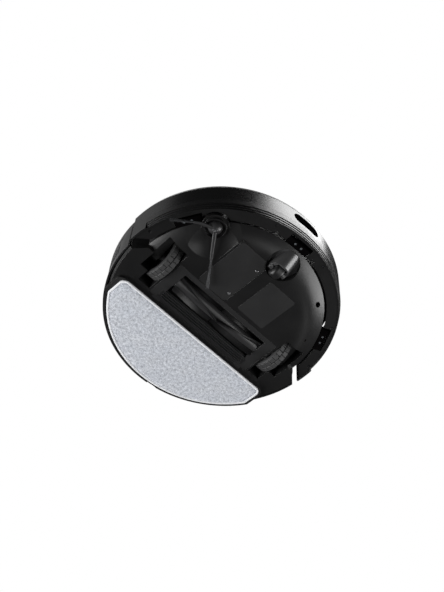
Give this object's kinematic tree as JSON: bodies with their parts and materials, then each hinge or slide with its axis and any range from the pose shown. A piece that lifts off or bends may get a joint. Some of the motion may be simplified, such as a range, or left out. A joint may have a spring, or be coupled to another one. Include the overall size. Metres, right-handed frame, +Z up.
{
  "type": "robot vacuum",
  "caption": "Low round robot vacuum with front bumper, side and main brushes, spring-mounted drive wheels, caster and a half-moon rear mop pad.",
  "frame": {"origin": "centre of the disc, on the floor it stands on", "axes": "+X to the robot's right, +Y to its front, +Z up"},
  "size_m": [0.354, 0.354, 0.0854],
  "materials": {
    "chassis_black": "fine moulded grain",
    "shell_black": "satin",
    "band_black": "polished",
    "window_dark": "tinted, polished",
    "housing_black": "plain moulded",
    "hub_grey": "satin",
    "tread_rubber": "matte",
    "strip_rubber": "matte",
    "blade_rubber": "satin",
    "bristle_grey": "satin",
    "door_grey": "fine moulded grain",
    "label_grey": "blank film",
    "pad_cloth": "looped microfibre",
    "screw_steel": "satin",
    "contact_metal": "polished",
    "lens_clear": "clear",
    "light_white": "milky",
    "board_green": "solder mask",
    "cell_wrap": "shrink film",
    "motor_can": "satin",
    "tank_smoke": "satin",
    "filter_paper": "pleated"
  },
  "bodies": {
    "chassis": {"lower_chassis": "chassis_black", "upper_shell": "shell_black", "top_cover": "shell_black", "control_panel": "band_black", "status_light": "light_white", "battery_door": "door_grey", "battery_pack": "cell_wrap", "door_screws": "screw_steel", "main_board": "board_green", "left_wheel_housing": "housing_black", "right_wheel_housing": "housing_black", "brush_housing": "housing_black", "brush_bearings": "hub_grey", "brush_motor": "motor_can", "side_brush_motor": "motor_can", "fan_housing": "housing_black", "suction_duct": "housing_black", "caster_socket": "housing_black", "cliff_sensor_front": "window_dark", "cliff_sensor_left": "window_dark", "cliff_sensor_right": "window_dark", "cliff_lenses": "lens_clear", "bumper_springs": "screw_steel", "bumper_switches": "housing_black", "label_plate": "label_grey", "left_side_grille": "shell_black", "right_side_grille": "shell_black", "charging_contacts": "contact_metal"},
    "bumper": {"bumper_shell": "shell_black", "bumper_band": "band_black", "bumper_skirt": "chassis_black", "sensor_window": "window_dark", "bumper_screws": "screw_steel"},
    "side_brush": {"side_brush_hub": "hub_grey", "side_brush_arms": "bristle_grey", "side_brush_screw": "screw_steel"},
    "main_brush": {"brush_core": "hub_grey", "brush_blades": "blade_rubber"},
    "guard": {"brush_guard": "door_grey", "wiper_strip": "strip_rubber", "guard_clips": "hub_grey"},
    "right_suspension": {"right_wheel_arm": "hub_grey", "right_wheel_motor": "motor_can"},
    "left_suspension": {"left_wheel_arm": "hub_grey", "left_wheel_motor": "motor_can"},
    "right_wheel": {"right_tyre": "tread_rubber", "right_wheel_hub": "hub_grey"},
    "left_wheel": {"left_tyre": "tread_rubber", "left_wheel_hub": "hub_grey"},
    "caster_swivel": {"caster_turret": "hub_grey", "caster_axle": "screw_steel"},
    "caster_roller": {"caster_wheel": "strip_rubber"},
    "mop": {"mop_plate": "housing_black", "mop_pad": "pad_cloth"},
    "tank": {"dust_water_tank": "tank_smoke", "dust_filter": "filter_paper"},
    "latch": {"tank_latch": "hub_grey"},
    "fan": {"fan_impeller": "hub_grey"},
    "power_key": {"power_button": "shell_black"},
    "home_key": {"home_button": "shell_black"}
  },
  "joints": [
    {"name": "bumper_push", "type": "slide", "parent": "chassis", "child": "bumper", "axis": [0, -1, 0], "range_m": [0, 0.003], "stiffness_N_per_m": 300, "springref_m": -0.002, "deforming": ["bumper_springs"]},
    {"name": "side_brush_spin", "type": "hinge", "parent": "chassis", "child": "side_brush", "pos_m": [0.109, 0.096, 0.012], "axis": [0, 0, 1], "continuous": true},
    {"name": "main_brush_spin", "type": "hinge", "parent": "chassis", "child": "main_brush", "pos_m": [0, -0.01, 0.019], "axis": [1, 0, 0], "continuous": true},
    {"name": "guard_removal", "type": "slide", "parent": "chassis", "child": "guard", "axis": [0, 0, -1], "range_m": [0, 0.04]},
    {"name": "right_suspension_droop", "type": "hinge", "parent": "chassis", "child": "right_suspension", "pos_m": [0.1317, 0.027, 0.042], "axis": [1, 0, 0], "range_deg": [0, 20], "stiffness_Nm_per_rad": 0.3, "springref_deg": 20.05},
    {"name": "left_suspension_droop", "type": "hinge", "parent": "chassis", "child": "left_suspension", "pos_m": [-0.1317, 0.027, 0.042], "axis": [1, 0, 0], "range_deg": [0, 20], "stiffness_Nm_per_rad": 0.3, "springref_deg": 20.05},
    {"name": "right_wheel_spin", "type": "hinge", "parent": "right_suspension", "child": "right_wheel", "pos_m": [0.1144, -0.003, 0.035], "axis": [1, 0, 0], "continuous": true},
    {"name": "left_wheel_spin", "type": "hinge", "parent": "left_suspension", "child": "left_wheel", "pos_m": [-0.1144, -0.003, 0.035], "axis": [1, 0, 0], "continuous": true},
    {"name": "caster_swivel_turn", "type": "hinge", "parent": "chassis", "child": "caster_swivel", "pos_m": [0, 0.124, 0.03], "axis": [0, 0, 1], "continuous": true},
    {"name": "caster_roll", "type": "hinge", "parent": "caster_swivel", "child": "caster_roller", "pos_m": [0, 0.1124, 0.012], "axis": [1, 0, 0], "continuous": true},
    {"name": "mop_removal", "type": "slide", "parent": "chassis", "child": "mop", "axis": [0, -1, 0], "range_m": [0, 0.13]},
    {"name": "tank_removal", "type": "slide", "parent": "chassis", "child": "tank", "axis": [0, -1, 0], "range_m": [0, 0.12]},
    {"name": "latch_press", "type": "slide", "parent": "tank", "child": "latch", "axis": [0, 1, 0], "range_m": [0, 0.0015], "stiffness_N_per_m": 500, "springref_m": -0.001},
    {"name": "fan_spin", "type": "hinge", "parent": "chassis", "child": "fan", "pos_m": [-0.127, -0.072, 0.044], "axis": [0, 0, 1], "continuous": true},
    {"name": "power_press", "type": "slide", "parent": "chassis", "child": "power_key", "axis": [0, 0, -1], "range_m": [0, 0.0008], "stiffness_N_per_m": 800, "springref_m": -0.0006},
    {"name": "home_press", "type": "slide", "parent": "chassis", "child": "home_key", "axis": [0, 0, -1], "range_m": [0, 0.0008], "stiffness_N_per_m": 800, "springref_m": -0.0006}
  ]
}
